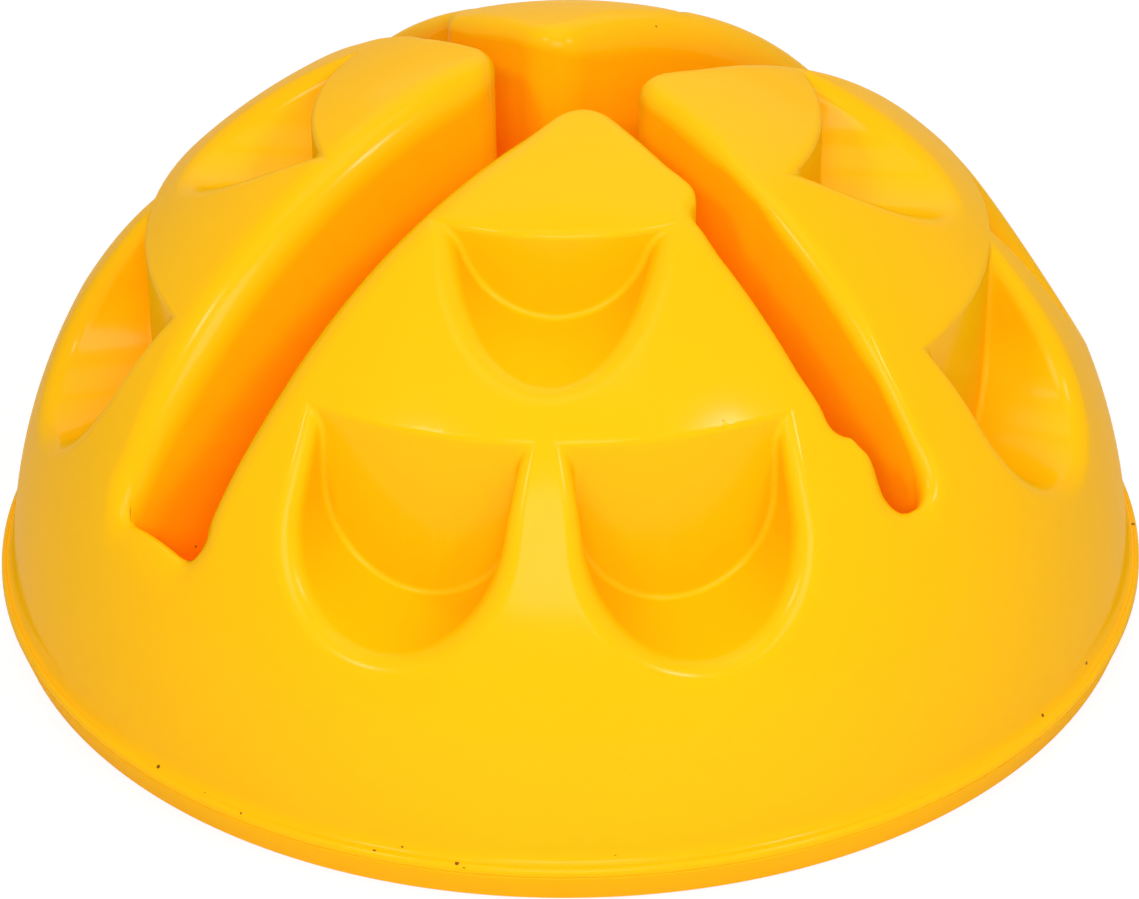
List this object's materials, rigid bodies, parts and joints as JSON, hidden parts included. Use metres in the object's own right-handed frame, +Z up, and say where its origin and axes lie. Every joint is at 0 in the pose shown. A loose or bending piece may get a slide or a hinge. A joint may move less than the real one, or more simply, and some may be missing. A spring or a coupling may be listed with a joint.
{
  "type": "balance dome",
  "caption": "Children's balance dome: a hollow plastic half ball with crossing slots for boards and scooped hand and foot holds, on a base plate with rubber pads.",
  "frame": {"origin": "on the floor below the crown, at the centre of the base", "axes": "+Z up through the crown; +X along the wide slot; +Y along the narrow slot"},
  "size_m": [0.503, 0.503, 0.2424],
  "materials": {
    "dome_plastic": "glossy moulded polyethylene, yolk yellow",
    "base_plastic": "moulded polyethylene, the same yellow, a little duller",
    "screw_steel": "zinc plated",
    "pad_rubber": "matt grip rubber"
  },
  "bodies": {
    "root": {"dome_shell": "dome_plastic", "base_plate": "base_plastic", "base_screw_1": "screw_steel", "base_screw_2": "screw_steel", "base_screw_3": "screw_steel", "base_screw_4": "screw_steel", "base_screw_5": "screw_steel", "base_screw_6": "screw_steel", "base_screw_7": "screw_steel", "base_screw_8": "screw_steel", "foot_pad_1": "pad_rubber", "foot_pad_2": "pad_rubber", "foot_pad_3": "pad_rubber", "foot_pad_4": "pad_rubber", "foot_pad_5": "pad_rubber", "foot_pad_6": "pad_rubber", "foot_pad_7": "pad_rubber", "foot_pad_8": "pad_rubber", "foot_pad_9": "pad_rubber", "foot_pad_10": "pad_rubber", "foot_pad_11": "pad_rubber", "foot_pad_12": "pad_rubber"}
  },
  "joints": []
}
